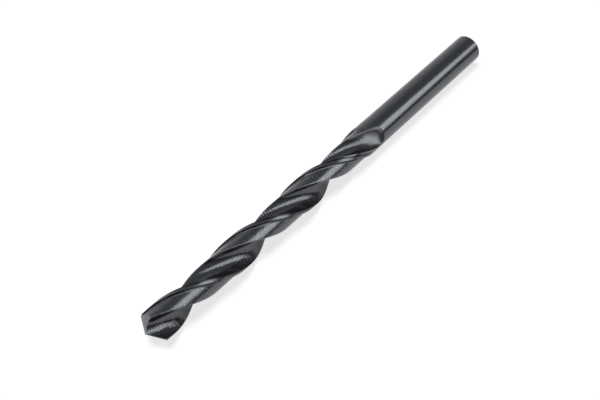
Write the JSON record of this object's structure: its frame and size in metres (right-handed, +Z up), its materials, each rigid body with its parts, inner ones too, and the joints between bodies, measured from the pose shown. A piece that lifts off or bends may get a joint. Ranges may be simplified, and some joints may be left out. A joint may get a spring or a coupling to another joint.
{
  "type": "twist drill bit",
  "caption": "Straight-shank twist drill bit with right-hand helical flutes, ground margins, a plain conical point and a flute run-out into the round shank.",
  "frame": {"origin": "middle of the underside of the bounding box, on the surface the drill lies on", "axes": "+X along the drill's axis from the point to the shank end, +Z up from the surface it lies on, +Y to the left of +X"},
  "size_m": [0.109, 0.007, 0.007],
  "materials": {
    "black_oxide_steel": "dark satin black-oxide finish on ground high-speed steel"
  },
  "bodies": {
    "root": {"twist_drill": "black_oxide_steel"}
  },
  "joints": []
}
